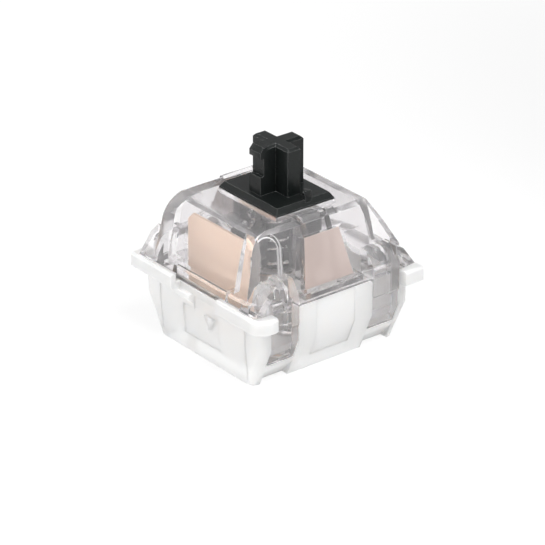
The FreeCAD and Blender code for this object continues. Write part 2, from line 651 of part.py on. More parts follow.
def stem_cross():
    """Cross that the keycap presses onto: plain arms, and on the north one a lip over a notch."""
    half = CROSS_ARM_Y / 2
    end = CROSS_SPAN_Y / 2
    step_y = end - CROSS_END_STEP
    east_west = cross_arm(-CROSS_SPAN_X / 2, CROSS_SPAN_X / 2, -CROSS_ARM_X / 2, CROSS_ARM_X / 2)
    north_south = cross_arm(-half, half, -end, step_y + CROSS_CHAMFER)
    bevel_z = CROSS_TOP - CROSS_END_BEVEL
    notch_top = CROSS_TOP - CROSS_LIP
    notch_bottom = notch_top - CROSS_NOTCH
    root = step_y - CROSS_END_STEP
    lip = prism("x", [(root, CROSS_TOP), (step_y, CROSS_TOP), (end, bevel_z),
                      (end, notch_top + CROSS_LIP_SLOPE), (step_y, notch_top), (root, notch_top)],
                -half, half)
    block = box(-half, half, root, end, STEM_UNDERSIDE + STEM_LAP, notch_bottom)
    room = box(-half, half, step_y, end, notch_bottom, CROSS_TOP)
    north_south = north_south.cut(room).fuse(lip).fuse(block)
    return east_west.fuse(north_south)


def stem_plate():
    """Bevelled plate that closes the opening in the cover."""
    low = STEM_TOP_Z - STEM_BEVEL
    straight = box(-STEM_HALF_X, STEM_HALF_X, -STEM_HALF_Y, STEM_HALF_Y, STEM_UNDERSIDE, low)
    inset = STEM_BEVEL_INSET
    wires = [rounded_square(2 * STEM_HALF_X, 2 * STEM_HALF_Y, STEM_CORNER_R, low),
             rounded_square(2 * (STEM_HALF_X - inset), 2 * (STEM_HALF_Y - inset), STEM_CORNER_R, STEM_TOP_Z)]
    return straight.fuse(Part.makeLoft(wires, True, True))


def stem_nub():
    """Small post with a flared three-sided head on the west edge of the plate."""
    x = -STEM_HALF_X + STEM_BEVEL_INSET / 2
    half = NUB_WIDTH / 2
    low = STEM_TOP_Z - STEM_BEVEL
    neck = NUB_TOP - NUB_HEAD
    post = box(x, x + NUB_WIDTH, NUB_Y - half, NUB_Y + half, low, neck)
    south = (x, NUB_Y - half)
    inside = (x + NUB_WIDTH, NUB_Y)
    foot = rounded_outline([(x, NUB_Y + half), south, inside], lambda u, v: V(u, v, neck))
    head = rounded_outline([(x, NUB_Y + half + NUB_FLARE), south, inside], lambda u, v: V(u, v, NUB_TOP))
    return post.fuse(Part.makeLoft([foot, head], True, True))


def stem_legs():
    """Two legs on the contact side, with the cam noses that hold the leaf off."""
    root = STEM_HALF_Y - LEG_THICKNESS
    top = STEM_UNDERSIDE + STEM_LAP
    corners = [(root, top), (STEM_HALF_Y, top), (STEM_HALF_Y, CAM_TOP), (CAM_TIP_Y, CAM_TIP_HIGH, CAM_TIP_R),
               (CAM_TIP_Y, CAM_TIP_LOW, CAM_TIP_R), (STEM_HALF_Y, CAM_BOTTOM), (STEM_HALF_Y, LEG_BOTTOM),
               (root, LEG_BOTTOM)]
    return with_mirror(prism("x", corners, LEG_INNER_X, LEG_INNER_X + LEG_WIDTH), V(1, 0, 0))


def stem_rails():
    """Side rails with the lugs that run between the cover's ribs and stop under its deck."""
    top = STEM_UNDERSIDE + STEM_LAP
    rail = box(STEM_HALF_X - RAIL_THICKNESS, STEM_HALF_X, -RAIL_HALF_Y, RAIL_HALF_Y, RAIL_BOTTOM, top)
    lug = box(STEM_HALF_X - LUG_ROOT, STEM_HALF_X + LUG_REACH, -LUG_HALF_Y, LUG_HALF_Y, RAIL_BOTTOM,
              DECK_UNDERSIDE - FIT_GAP)
    return with_mirror(rail.fuse(lug), V(1, 0, 0))


def stem():
    """Black stem in one moulding."""
    top = STEM_UNDERSIDE + STEM_LAP
    shoulder = POLE_TIP + POLE_CHAMFER
    pole = Part.makeCylinder(POLE_R, top - shoulder, V(0, 0, shoulder))
    tip = Part.makeCone(POLE_R - POLE_CHAMFER, POLE_R, POLE_CHAMFER, V(0, 0, POLE_TIP))
    back = box(-BACK_WALL_HALF_X, BACK_WALL_HALF_X, -STEM_HALF_Y, BACK_WALL_THICKNESS - STEM_HALF_Y,
               BACK_WALL_BOTTOM, top)
    pieces = [stem_cross(), stem_nub(), stem_legs(), stem_rails(), pole, tip, back]
    return stem_plate().multiFuse(pieces).removeSplitter()


def half_turn(start_z, end_z, east_to_west):
    """Half a turn of the coil: part of a ring in a plane tilted so that it climbs between its ends."""
    side = 1 if east_to_west else -1
    start = V(side * COIL_R, 0, start_z)
    middle = V(0, 0, (start_z + end_z) / 2)
    axis = (start - middle).cross(V(0, side, 0))
    turns = [2 * math.pi * i / WIRE_SIDES for i in range(WIRE_SIDES + 1)]
    corners = [start + V(math.cos(turn), 0, math.sin(turn)) * WIRE_R for turn in turns]
    return Part.Face(Part.makePolygon(corners)).revolve(middle, axis, 180)


def return_spring():
    """Coil spring round the tube, with closed end turns; its round wire is drawn with WIRE_SIDES flats."""
    low = FLOOR + WIRE_R
    high = STEM_UNDERSIDE - WIRE_R - SPRING_END_GAP
    end_rise = COIL_END_PITCH * WIRE_R * COIL_END_TURNS
    rises = [end_rise / COIL_END_TURNS] * COIL_END_TURNS
    rises += [(high - low - 2 * end_rise) / COIL_TURNS] * COIL_TURNS
    rises += [end_rise / COIL_END_TURNS] * COIL_END_TURNS
    pieces = []
    z = low
    for rise in rises:
        pieces.append(half_turn(z, z + rise / 2, True))
        pieces.append(half_turn(z + rise / 2, z + rise, False))
        z += rise
    return pieces[0].multiFuse(pieces[1:])


def tail(x, y, sheet, top):
    """Flat solder tail with a tapered tip, from a height down to its length below the board's face."""
    half = TAIL_WIDTH / 2
    tip = TAIL_TIP_WIDTH / 2
    shoulder = -TAIL_LENGTH + TAIL_TIP_LENGTH
    corners = [(x - half, top), (x - half, shoulder), (x - tip, -TAIL_LENGTH), (x + tip, -TAIL_LENGTH),
               (x + half, shoulder), (x + half, top)]
    return prism("y", corners, y - sheet / 2, y + sheet / 2)


def moving_terminal():
    """Outer contact sheet: tall plate behind the window, trough for the leaf, and solder tail."""
    y0, y1 = MOVING_PLATE_Y - SHEET / 2, MOVING_PLATE_Y + SHEET / 2
    half = MOVING_PLATE_HALF_X
    low, high = MOVING_PLATE_BOTTOM, MOVING_PLATE_TOP
    c = MOVING_PLATE_CHAMFER
    plate = prism("y", [(-half, low), (half, low), (half, high - c), (half - c, high), (-half + c, high),
                        (-half, high - c)], y0, y1)
    web_top = LEAF_HINGE_Z - LEAF_ROLL_R - TROUGH_GAP
    web_bottom = web_top - SHEET
    lip_y = LEAF_Y - LEAF_ROLL_R - TROUGH_GAP
    web = box(-LEAF_HALF_X, LEAF_HALF_X, lip_y - SHEET, y1, web_bottom, web_top)
    lip = box(-LEAF_HALF_X, LEAF_HALF_X, lip_y - SHEET, lip_y, web_bottom, web_top + TROUGH_LIP)
    pin = tail(MOVING_TAIL_X, MOVING_PLATE_Y, SHEET, MOVING_PLATE_BOTTOM + SHEET)
    return plate.multiFuse([web, lip, pin]).removeSplitter()


def fixed_terminal():
    """Inner contact sheet: upright tongue between the stem's legs, foot along the floor, and solder tail."""
    sheet = FIXED_PLATE_SHEET
    y0, y1 = FIXED_PLATE_Y - sheet / 2, FIXED_PLATE_Y + sheet / 2
    half = FIXED_PLATE_HALF_X
    foot_west = FIXED_TAIL_X - TAIL_WIDTH / 2
    foot_top = FLOOR + FIXED_FOOT_HEIGHT
    top, corner_r = FIXED_PLATE_TOP, FIXED_PLATE_CORNER_R
    tongue = prism("y", [(foot_west, FLOOR), (half, FLOOR), (half, top, corner_r), (-half, top, corner_r),
                         (-half, foot_top), (foot_west, foot_top)], y0, y1)
    bend = box(foot_west, foot_west + TAIL_WIDTH, FIXED_TAIL_Y - sheet / 2, y1, FLOOR, FLOOR + sheet)
    pin = tail(FIXED_TAIL_X, FIXED_TAIL_Y, sheet, FLOOR + sheet)
    return tongue.multiFuse([bend, pin]).removeSplitter()


def contact_leaf():
    """Springy leaf: rolled foot, plain waist, two arms bent to the cam noses, and a tongue between them."""
    y0, y1 = LEAF_Y - LEAF_SHEET / 2, LEAF_Y + LEAF_SHEET / 2
    roll = Part.makeCylinder(LEAF_ROLL_R, 2 * LEAF_HALF_X, V(-LEAF_HALF_X, LEAF_Y, LEAF_HINGE_Z), V(1, 0, 0))
    waist = box(-LEAF_HALF_X, LEAF_HALF_X, y0, y1, LEAF_HINGE_Z, LEAF_WAIST_Z)
    tongue_half = LEG_INNER_X - LEAF_ARM_GAP
    tongue = box(-tongue_half, tongue_half, y0, y1, LEAF_WAIST_Z, LEAF_TOP)
    bend_low = LEAF_BUMP_Z - LEAF_BUMP_RUN
    bend_high = LEAF_BUMP_Z + LEAF_BUMP_RUN
    face = CAM_TIP_Y + RUN_GAP
    corners = [(y0, LEAF_WAIST_Z), (y0, bend_low), (face, LEAF_BUMP_Z, LEAF_BUMP_R), (y0, bend_high),
               (y0, LEAF_TOP), (y1, LEAF_TOP), (y1, bend_high),
               (face + LEAF_SHEET, LEAF_BUMP_Z, LEAF_BUMP_R + LEAF_SHEET), (y1, bend_low), (y1, LEAF_WAIST_Z)]
    arm = prism("x", corners, LEG_INNER_X, LEAF_HALF_X)
    return roll.fuse(waist).fuse(tongue).fuse(with_mirror(arm, V(1, 0, 0))).removeSplitter()


def crosspoint(face_y, outward, upright):
    """Small roof-shaped contact bar on a sheet's face: it points along outward (1 is north)."""
    long_half = CROSSPOINT_LENGTH / 2
    wide_half = CROSSPOINT_WIDTH / 2
    ridge_half = CROSSPOINT_RIDGE_HALF
    peak = face_y + outward * CROSSPOINT_HEIGHT
    z = CROSSPOINT_Z
    if upright:
        corners = [(-wide_half, face_y), (wide_half, face_y), (ridge_half, peak), (-ridge_half, peak)]
        return prism("z", corners, z - long_half, z + long_half)
    corners = [(face_y, z - wide_half), (face_y, z + wide_half), (peak, z + ridge_half),
               (peak, z - ridge_half)]
    return prism("x", corners, -long_half, long_half)


def switch_nodes():
    """Every piece of the switch, by its name."""
    return {
        "bottom_housing": bottom_housing(),
        "top_housing": top_housing(),
        "stem": stem(),
        "return_spring": return_spring(),
        "fixed_terminal": fixed_terminal(),
        "fixed_crosspoint": crosspoint(FIXED_PLATE_Y + FIXED_PLATE_SHEET / 2, 1, True),
        "moving_terminal": moving_terminal(),
        "contact_leaf": contact_leaf(),
        "moving_crosspoint": crosspoint(LEAF_Y - LEAF_SHEET / 2, -1, False),
    }


os.makedirs("parts", exist_ok=True)
for name, shape in switch_nodes().items():
    print(name, len(shape.Solids), shape.isValid(), round(shape.Volume, 3), shape.BoundBox)
    shape.exportStep("parts/" + name + ".step")
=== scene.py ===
import math

import bmesh
import bpy
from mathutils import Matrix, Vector


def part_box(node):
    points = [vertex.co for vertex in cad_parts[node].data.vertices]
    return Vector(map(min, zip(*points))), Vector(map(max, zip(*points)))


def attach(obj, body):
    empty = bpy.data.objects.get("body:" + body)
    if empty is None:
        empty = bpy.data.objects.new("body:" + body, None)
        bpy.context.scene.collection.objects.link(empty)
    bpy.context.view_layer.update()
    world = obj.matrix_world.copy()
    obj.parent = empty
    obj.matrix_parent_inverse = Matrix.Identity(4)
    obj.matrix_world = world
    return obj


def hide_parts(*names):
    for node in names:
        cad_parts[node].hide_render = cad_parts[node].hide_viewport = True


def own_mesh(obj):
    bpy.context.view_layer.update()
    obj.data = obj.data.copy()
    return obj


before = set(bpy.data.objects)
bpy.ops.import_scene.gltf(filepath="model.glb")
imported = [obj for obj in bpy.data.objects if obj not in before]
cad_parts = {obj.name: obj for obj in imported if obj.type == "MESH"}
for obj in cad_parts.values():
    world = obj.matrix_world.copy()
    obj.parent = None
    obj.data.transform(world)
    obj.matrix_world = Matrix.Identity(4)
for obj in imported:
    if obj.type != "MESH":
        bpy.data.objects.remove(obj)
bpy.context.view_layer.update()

MM = 0.001

# Photograph's camera: direction to it, distance, and lens
CAMERA_AZIMUTH = math.radians(231.508)
CAMERA_ELEVATION = math.radians(25.835)
CAMERA_DISTANCE = 219.9 * MM
CAMERA_TARGET = Vector((0, 0, 6 * MM))
CAMERA_FOCAL_PX = 2965.9
PHOTO_SIDE_PX = 545
TARGET_OFFSET_PX = (3.98, -11.38)
SENSOR_MM = 36
CAMERA_CLIP = (0.01, 10)

# Edge rounding of the moulded pieces
STEM_EDGE = 0.055 * MM
COVER_EDGE = 0.085 * MM
BASE_EDGE = 0.09 * MM
EDGE_SEGMENTS = 2
EDGE_ANGLE = math.radians(24)
EDGE_SHARP = math.radians(100)
FACE_WEIGHT = 100
FLAT_ANGLE = math.radians(1)
MERGE_DISTANCE = 0.0005 * MM

# Return spring
WIRE_R = 0.13 * MM
COIL_R = 2.0 * MM
ACTIVE_TURNS = 9
END_TURNS = 1
END_TURN_RISE = 2.2 * WIRE_R
STEPS_PER_TURN = 40
WIRE_SIDES = 12
WIRE_SHARP = math.radians(35)

# Matt face of each bay of the cover: it leans from its foot to its top
BAY_FACE_HALF_Y = 2.3 * MM
BAY_FOOT_X = 6.18 * MM
BAY_FOOT_Z = 6.7 * MM
BAY_TOP_X = 5.22 * MM
BAY_TOP_Z = 10.3 * MM
BAY_FACE_BAND = 0.05 * MM

# Arched rib inside each north corner of the cover: its section (x, z) follows the leaning side wall, and its
# outer and inner arch each have two legs along y and the height where the round top starts
ARCH_SECTION = (
    (-5.22 * MM, 7.1 * MM),
    (-4.55 * MM, 7.1 * MM),
    (-4.4 * MM, 9.8 * MM),
    (-4.05 * MM, 11.2 * MM),
    (-4.62 * MM, 11.2 * MM),
    (-5.05 * MM, 9.8 * MM),
)
ARCH_OUTER = (3.3 * MM, 6.0 * MM, 9.8 * MM)
ARCH_INNER = (3.62 * MM, 5.72 * MM, 9.75 * MM)
ARCH_STEPS = 12

# Base's outer walls: they lean out from the foot to the knee, and stand upright above it
BASE_FOOT_X = 5.6 * MM
BASE_FOOT_Y = 6.7 * MM
BASE_SIDE = 6.98 * MM
BASE_KNEE_Z = 3.3 * MM

# Shallow forms in the base's walls; a north panel is its two ends along x, its bottom and its top
PANEL_RECESS = 0.12 * MM
SIDE_PANEL_HALF_Y = 1.8 * MM
SIDE_PANEL_Z = (1.3 * MM, 6.3 * MM)
NORTH_PANELS = (
    (-2.0 * MM, 0.95 * MM, 1.4 * MM, 4.95 * MM),
    (0.95 * MM, 2.3 * MM, 1.4 * MM, 3.9 * MM),
)
WEDGE_X = (-1.56 * MM, -0.42 * MM)
WEDGE_Z = (2.9 * MM, 3.9 * MM)
WEDGE_Y = (6.8 * MM, 7.12 * MM)
COLUMN_LINE_X = 5.1 * MM
COLUMN_LINE_WIDTH = 0.12 * MM
COLUMN_LINE_Z = (0.4 * MM, 4.9 * MM)
UNDERCUT_Y = (3.45 * MM, 6.0 * MM)
UNDERCUT_INNER_X = 4.77 * MM
UNDERCUT_OUTER_X = 6.22 * MM
UNDERCUT_TOP = 1.45 * MM
BEYOND = 0.2 * MM

# Floor at the board's face, and its holes for the post and the tails
FLOOR_SIDE = 1.2
FLOOR_GREY = 0.9
FLOOR_WHITE_SHARE = 0.85
POST_HOLE_R = 2.15 * MM
TAIL_HOLE_R = 0.75 * MM
HOLE_SIDES = 48
TAIL_HOLES = ((2.54 * MM, 5.08 * MM), (-3.81 * MM, 2.54 * MM))

# Studio: world from its horizon to overhead, lamps by place, size and power
HORIZON = (0.26, 0.26, 0.27)
OVERHEAD = (1, 1, 1)
OVERHEAD_FROM = 0.9
KEY_LAMP = ((-0.12, 0.00, 0.20), (0.10, 0.10), 0.52)
LEFT_LAMP = ((0.05, 0.22, 0.10), (0.10, 0.14), 0.28)

# Dark cards: their start and end, each measured to the right of the switch and behind it, and their heights
RIGHT_CARD = ((30 * MM, 10 * MM), (30 * MM, 70 * MM), (6 * MM, 60 * MM))
BACK_CARD = ((-60 * MM, 80 * MM), (60 * MM, 80 * MM), (45 * MM, 110 * MM))


def new_material(name):
    """Empty node material and its shader."""
    material = bpy.data.materials.new(name)
    material.use_nodes = True
    return material, material.node_tree, material.node_tree.nodes["Principled BSDF"]


def object_noise(tree, scale, detail=2.0, stretch=(1, 1, 1)):
    """Noise over the object's own coordinates; scale is in features per metre."""
    place = tree.nodes.new("ShaderNodeTexCoord")
    mapping = tree.nodes.new("ShaderNodeMapping")
    mapping.inputs["Scale"].default_value = stretch
    noise = tree.nodes.new("ShaderNodeTexNoise")
    noise.inputs["Scale"].default_value = scale
    noise.inputs["Detail"].default_value = detail
    tree.links.new(place.outputs["Object"], mapping.inputs["Vector"])
    tree.links.new(mapping.outputs["Vector"], noise.inputs["Vector"])
    return noise.outputs["Fac"]


def colour_between(tree, value, first, second, target):
    """Colour mixed from two by a 0 to 1 value, into a socket."""
    mix = tree.nodes.new("ShaderNodeMix")
    mix.data_type = "RGBA"
    mix.inputs["A"].default_value = (*first, 1)
    mix.inputs["B"].default_value = (*second, 1)
    tree.links.new(value, mix.inputs["Factor"])
    tree.links.new(mix.outputs["Result"], target)


def vary_colour(tree, shader, value, first, second):
    """Shader's colour, between two by a 0 to 1 value."""
    colour_between(tree, value, first, second, shader.inputs["Base Color"])


def vary_roughness(tree, shader, value, low, high):
    """Shader's roughness, between two limits by a 0 to 1 value."""
    spread = tree.nodes.new("ShaderNodeMapRange")
    spread.inputs["To Min"].default_value = low
    spread.inputs["To Max"].default_value = high
    tree.links.new(value, spread.inputs["Value"])
    tree.links.new(spread.outputs["Result"], shader.inputs["Roughness"])


def add_bump(tree, shader, height, strength, distance):
    """Shader's normal, bent by a height."""
    node = tree.nodes.new("ShaderNodeBump")
    node.inputs["Strength"].default_value = strength
    node.inputs["Distance"].default_value = distance
    tree.links.new(height, node.inputs["Height"])
    tree.links.new(node.outputs["Normal"], shader.inputs["Normal"])


def clear_polycarbonate():
    """Clear moulding, faintly grey, with slight ripples in its faces."""
    material, tree, shader = new_material("clear_polycarbonate")
    ripple = object_noise(tree, 600, 1.0)
    vary_colour(tree, shader, ripple, (0.90, 0.886, 0.895), (0.945, 0.933, 0.94))
    vary_roughness(tree, shader, ripple, 0.05, 0.12)
    add_bump(tree, shader, ripple, 0.03, 0.02 * MM)
    shader.inputs["IOR"].default_value = 1.22
    shader.inputs["Transmission Weight"].default_value = 0.92
    return material


def frosted_copper_glow():
    """The cover's matt face in its bay pockets, with a painted warm glow in its colour standing for the
    copper light that it scatters.
    """
    material, tree, shader = new_material("frosted_copper_glow")
    cloud = object_noise(tree, 400)
    grain = object_noise(tree, 12000)
    # Painted reflected light: the warm colour stands for copper light scattered in the face
    vary_colour(tree, shader, cloud, (0.47, 0.385, 0.355), (0.52, 0.43, 0.40))
    vary_roughness(tree, shader, grain, 0.45, 0.60)
    add_bump(tree, shader, grain, 0.1, 0.01 * MM)
    shader.inputs["IOR"].default_value = 1.4
    shader.inputs["Transmission Weight"].default_value = 0.35
    return material


def milky_nylon():
    """White moulding that lets a little light through."""
    material, tree, shader = new_material("milky_nylon")
    cloud = object_noise(tree, 350, 3.0)
    grain = object_noise(tree, 9000)
    vary_colour(tree, shader, cloud, (0.86, 0.856, 0.846), (0.91, 0.907, 0.898))
    vary_roughness(tree, shader, grain, 0.32, 0.42)
    add_bump(tree, shader, grain, 0.06, 0.02 * MM)
    shader.inputs["IOR"].default_value = 1.5
    shader.inputs["Subsurface Weight"].default_value = 0.8
    shader.inputs["Subsurface Radius"].default_value = (1.0, 0.95, 0.9)
    shader.inputs["Subsurface Scale"].default_value = 1.2 * MM
    shader.inputs["Transmission Weight"].default_value = 0.46
    return material


def black_acetal():
    """Black moulding with a satin face."""
    material, tree, shader = new_material("black_acetal")
    cloud = object_noise(tree, 500, 3.0)
    grain = object_noise(tree, 14000)
    vary_colour(tree, shader, cloud, (0.004, 0.005, 0.005), (0.008, 0.010, 0.0095))
    vary_roughness(tree, shader, grain, 0.24, 0.34)
    add_bump(tree, shader, grain, 0.08, 0.01 * MM)
    shader.inputs["IOR"].default_value = 1.48
    shader.inputs["Specular IOR Level"].default_value = 0.25
    return material


def painted_highlight_edge(name, first, second, roughness, transmission=0.0):
    """Rounded edge of a moulding, painted paler as a thin highlight line where it would catch the light."""
    material, tree, shader = new_material(name)
    cloud = object_noise(tree, 700)
    # Painted highlight: the edge's colours are paler than the moulding's own
    vary_colour(tree, shader, cloud, first, second)
    vary_roughness(tree, shader, cloud, roughness - 0.04, roughness + 0.06)
    shader.inputs["IOR"].default_value = 1.4
    shader.inputs["Transmission Weight"].default_value = transmission
    return material


def rolled_metal(name, light, dark, roughness, metallic=1.0):
    """Sheet or wire metal with faint drawing lines."""
    material, tree, shader = new_material(name)
    lines = object_noise(tree, 2500, 3.0, (1, 1, 0.06))
    vary_colour(tree, shader, lines, dark, light)
    vary_roughness(tree, shader, lines, roughness - 0.06, roughness + 0.08)
    add_bump(tree, shader, lines, 0.1, 0.01 * MM)
    shader.inputs["Metallic"].default_value = metallic
    return material


def plain_material(name, grey, roughness):
    """Grey material of a stage piece."""
    material, tree, shader = new_material(name)
    shader.inputs["Base Color"].default_value = (grey, grey, grey, 1)
    shader.inputs["Roughness"].default_value = roughness
    return material


def assign(piece, *materials):
    """Gives an object just these materials."""
    piece.data.materials.clear()
    for material in materials:
        piece.data.materials.append(material)


def object_from(mesh, name):
    """New object in the scene from a finished edit mesh."""
    data = bpy.data.meshes.new(name)
    mesh.to_mesh(data)
    mesh.free()
    piece = bpy.data.objects.new(name, data)
    bpy.context.scene.collection.objects.link(piece)
    return piece


def apply_modifiers(piece):
    """Leaves the piece with its final mesh and no modifiers."""
    graph = bpy.context.evaluated_depsgraph_get()
    final = bpy.data.meshes.new_from_object(piece.evaluated_get(graph))
    piece.modifiers.clear()
    piece.data = final


def smooth_by_angle(piece, angle):
    """Smooth shading, with edges sharper than the angle kept sharp."""
    piece.data.shade_smooth()
    piece.data.set_sharp_from_angle(angle=angle)


def prism(axis, corners, low, high):
    """Object with the given profile, drawn across the x or y axis and drawn out along it."""
    mesh = bmesh.new()
    ends = []
    for along in (low, high):
        spots = [(along, u, z) if axis == "x" else (u, along, z) for u, z in corners]
        ends.append([mesh.verts.new(spot) for spot in spots])
    count = len(corners)
    for i in range(count):
        following = (i + 1) % count
        mesh.faces.new((ends[0][i], ends[0][following], ends[1][following], ends[1][i]))
    mesh.faces.new(ends[0])
    mesh.faces.new(ends[1])
    bmesh.ops.recalc_face_normals(mesh, faces=mesh.faces)
    return object_from(mesh, "form")


def shape_with(piece, form, operation):
    """Cuts a form out of a piece, or joins it on, and drops the form."""
    change = piece.modifiers.new("change", "BOOLEAN")
    change.operation = operation
    change.solver = "EXACT"
    change.object = form
    apply_modifiers(piece)
    data = form.data
    bpy.data.objects.remove(form)
    bpy.data.meshes.remove(data)


def mirrored(profile):
    """Profile on the other side of the middle."""
    return [(-u, z) for u, z in profile]


def wall_recess(foot, z_low, z_high):
    """Profile just inside the base's leaning wall, out to beyond it, between two heights."""
    def inside(z):
        """How far out the recess's back lies at a height."""
        return foot + (BASE_SIDE - foot) * min(z / BASE_KNEE_Z, 1) - PANEL_RECESS
    far = BASE_SIDE + BEYOND
    return [
        (inside(z_low), z_low),
        (inside(BASE_KNEE_Z), BASE_KNEE_Z),
        (inside(z_high), z_high),
        (far, z_high),
        (far, z_low),
    ]


def shape_base(piece):
    """Shallow panels, lines and wedge in the base's walls, and the undercut below each clip arm."""
    side_panel = wall_recess(BASE_FOOT_X, *SIDE_PANEL_Z)
    undercut = [
        (UNDERCUT_INNER_X, -BEYOND),
        (BASE_SIDE, -BEYOND),
        (BASE_SIDE, UNDERCUT_TOP),
        (UNDERCUT_OUTER_X, UNDERCUT_TOP),
    ]
    for turned in (list, mirrored):
        shape_with(piece, prism("y", turned(side_panel), -SIDE_PANEL_HALF_Y, SIDE_PANEL_HALF_Y), "DIFFERENCE")
        for side in (-1, 1):
            low, high = sorted(side * y for y in UNDERCUT_Y)
            shape_with(piece, prism("y", turned(undercut), low, high), "DIFFERENCE")
    for x_low, x_high, z_low, z_high in NORTH_PANELS:
        shape_with(piece, prism("x", wall_recess(BASE_FOOT_Y, z_low, z_high), x_low, x_high), "DIFFERENCE")
    column_line = wall_recess(BASE_FOOT_Y, *COLUMN_LINE_Z)
    half = COLUMN_LINE_WIDTH / 2
    for middle in (-COLUMN_LINE_X, COLUMN_LINE_X):
        shape_with(piece, prism("x", column_line, middle - half, middle + half), "DIFFERENCE")
    wedge = [(WEDGE_X[0], WEDGE_Z[1]), (WEDGE_X[1], WEDGE_Z[1]), (sum(WEDGE_X) / 2, WEDGE_Z[0])]
    shape_with(piece, prism("y", wedge, *WEDGE_Y), "UNION")


def arched(y_low, y_high, spring_z):
    """Profile of an upright arch between two legs, from the board's height to its round top."""
    middle = (y_low + y_high) / 2
    radius = (y_high - y_low) / 2
    turns = [math.pi * i / ARCH_STEPS for i in range(ARCH_STEPS + 1)]
    top = [(middle + radius * math.cos(turn), spring_z + radius * math.sin(turn)) for turn in turns]
    return [(y_low, 0), (y_high, 0)] + top


def shape_cover(piece):
    """Arched rib in both north corners of the cover."""
    for turned in (list, mirrored):
        rib = prism("y", turned(ARCH_SECTION), ARCH_OUTER[0], ARCH_OUTER[1])
        shape_with(rib, prism("x", arched(*ARCH_OUTER), -BASE_SIDE, BASE_SIDE), "INTERSECT")
        shape_with(rib, prism("x", arched(*ARCH_INNER), -BASE_SIDE, BASE_SIDE), "DIFFERENCE")
        assign(rib, *piece.data.materials)
        round_edges(rib, COVER_EDGE)
        shape_with(piece, rib, "UNION")


def round_edges(piece, width):
    """Rounds the sharp edges, with the piece's second material, its painted edge highlight, on them."""
    rounding = piece.modifiers.new("rounding", "BEVEL")
    rounding.width = width
    rounding.segments = EDGE_SEGMENTS
    rounding.limit_method = "ANGLE"
    rounding.angle_limit = EDGE_ANGLE
    rounding.use_clamp_overlap = True
    # The bevel faces take the painted highlight material
    rounding.material = 1
    apply_modifiers(piece)


def shade_flat_faces_flat(piece):
    """Normals that follow the largest face at each corner, so that only the rounded edges turn."""
    flat = piece.modifiers.new("flat", "WEIGHTED_NORMAL")
    flat.mode = "FACE_AREA"
    flat.weight = FACE_WEIGHT
    smooth_by_angle(piece, EDGE_SHARP)
    apply_modifiers(piece)


def softened(node, name, body, material, edge, width, reshape=None):
    """Copy of a CAD node with its sharp edges rounded, standing for the node."""
    mesh = bmesh.new()
    mesh.from_mesh(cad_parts[node].data)
    bmesh.ops.remove_doubles(mesh, verts=mesh.verts, dist=MERGE_DISTANCE)
    bmesh.ops.dissolve_limit(mesh, angle_limit=FLAT_ANGLE, verts=mesh.verts, edges=mesh.edges)
    piece = object_from(mesh, name)
    assign(piece, material, edge)
    round_edges(piece, width)
    if reshape:
        reshape(piece)
    shade_flat_faces_flat(piece)
    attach(piece, body)
    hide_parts(node)
    return piece


def frost_bays(piece, material):
    """Matt material, with its painted copper glow, on the leaning face of each bay of the cover."""
    piece.data.materials.append(material)
    for face in piece.data.polygons:
        spot = face.center
        share = (spot.z - BAY_FOOT_Z) / (BAY_TOP_Z - BAY_FOOT_Z)
        face_x = BAY_FOOT_X + (BAY_TOP_X - BAY_FOOT_X) * share
        on_face = 0 < share < 1 and abs(abs(spot.x) - face_x) < BAY_FACE_BAND
        if on_face and abs(spot.y) < BAY_FACE_HALF_Y and face.normal.x * spot.x > 0:
            face.material_index = len(piece.data.materials) - 1


def return_spring(material):
    """Wire helix between its seat and the stem, with closed end turns."""
    low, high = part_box("return_spring")
    start = low.z + WIRE_R
    end = high.z - WIRE_R
    end_rise = END_TURN_RISE * END_TURNS
    turns = ACTIVE_TURNS + 2 * END_TURNS

    def height(turn):
        """Height of the wire's middle after so many turns."""
        if turn < END_TURNS:
            return start + end_rise * turn / END_TURNS
        if turn > turns - END_TURNS:
            return end - end_rise * (turns - turn) / END_TURNS
        return start + end_rise + (end - start - 2 * end_rise) * (turn - END_TURNS) / ACTIVE_TURNS

    rings = []
    mesh = bmesh.new()
    for step in range(turns * STEPS_PER_TURN + 1):
        turn = step / STEPS_PER_TURN
        angle = 2 * math.pi * turn
        outward = Vector((math.cos(angle), math.sin(angle), 0))
        middle = outward * COIL_R + Vector((0, 0, height(turn)))
        ring = []
        for side in range(WIRE_SIDES):
            around = 2 * math.pi * side / WIRE_SIDES
            offset = outward * math.cos(around) + Vector((0, 0, math.sin(around)))
            ring.append(mesh.verts.new(middle + offset * WIRE_R))
        rings.append(ring)
    for first, second in zip(rings, rings[1:]):
        for side in range(WIRE_SIDES):
            following = (side + 1) % WIRE_SIDES
            mesh.faces.new((first[side], first[following], second[following], second[side]))
    mesh.faces.new(reversed(rings[0]))
    mesh.faces.new(rings[-1])
    bmesh.ops.recalc_face_normals(mesh, faces=mesh.faces)
    piece = object_from(mesh, "spring_coil")
    smooth_by_angle(piece, WIRE_SHARP)
    assign(piece, material)
    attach(piece, "housing")
    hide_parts("return_spring")
    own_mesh(piece)
    return piece


def white_behind(tree, surface, share, target):
    """Plain white where it is seen straight, mirrored or through a clear piece, and the surface for light."""
    path = tree.nodes.new("ShaderNodeLightPath")
    seen = path.outputs["Is Camera Ray"]
    for ray in ("Is Transmission Ray", "Is Glossy Ray"):
        either = tree.nodes.new("ShaderNodeMath")
        either.operation = "MAXIMUM"
        tree.links.new(seen, either.inputs[0])
        tree.links.new(path.outputs[ray], either.inputs[1])
        seen = either.outputs["Value"]
    part = tree.nodes.new("ShaderNodeMath")
    part.operation = "MULTIPLY"
    part.inputs[1].default_value = share
    tree.links.new(seen, part.inputs[0])
    white = tree.nodes.new("ShaderNodeEmission")
    white.inputs["Strength"].default_value = 1.0
    mix = tree.nodes.new("ShaderNodeMixShader")
    tree.links.new(part.outputs["Value"], mix.inputs["Fac"])
    tree.links.new(surface, mix.inputs[1])
    tree.links.new(white.outputs["Emission"], mix.inputs[2])
    tree.links.new(mix.outputs["Shader"], target)


